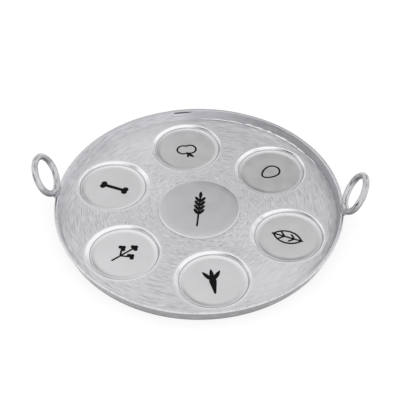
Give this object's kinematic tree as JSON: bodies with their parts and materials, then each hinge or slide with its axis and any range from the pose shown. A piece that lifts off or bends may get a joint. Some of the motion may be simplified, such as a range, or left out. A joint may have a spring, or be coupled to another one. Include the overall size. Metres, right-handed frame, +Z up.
{
  "type": "seder plate",
  "caption": "Round footed metal tray with a flared rim, round sunk dishes about a raised medallion, black pictogram inlays and two upright ring handles.",
  "frame": {"origin": "middle of the foot, on the surface that the plate stands on", "axes": "+Z up, +X through the right-hand handle, +Y away from the viewer of the picture"},
  "size_m": [0.3764, 0.329, 0.0645],
  "materials": {
    "brushed_tray": "wire-brushed in short strokes round the centre",
    "satin_rim": "satin, with a filed bright top edge",
    "smooth_dish": "smooth spun satin",
    "handle_wire": "rubbed satin wire",
    "weld_metal": "as-welded, dull and lumpy",
    "black_enamel": "cold enamel filled flush into engraved lines"
  },
  "bodies": {
    "root": {"tray_floor": "brushed_tray", "rim_band": "satin_rim", "rim_weld_seam": "weld_metal", "centre_medallion": "smooth_dish", "inlay_wheat_ear": "black_enamel", "dish_fruit_paste": "smooth_dish", "inlay_fruit_paste": "black_enamel", "dish_egg": "smooth_dish", "inlay_egg": "black_enamel", "dish_lettuce": "smooth_dish", "inlay_lettuce": "black_enamel", "dish_bitter_herb": "smooth_dish", "inlay_bitter_herb": "black_enamel", "dish_greens": "smooth_dish", "inlay_greens": "black_enamel", "dish_shank_bone": "smooth_dish", "inlay_shank_bone": "black_enamel", "ring_handle_left": "handle_wire", "handle_weld_left": "weld_metal", "ring_handle_right": "handle_wire", "handle_weld_right": "weld_metal"}
  },
  "joints": []
}
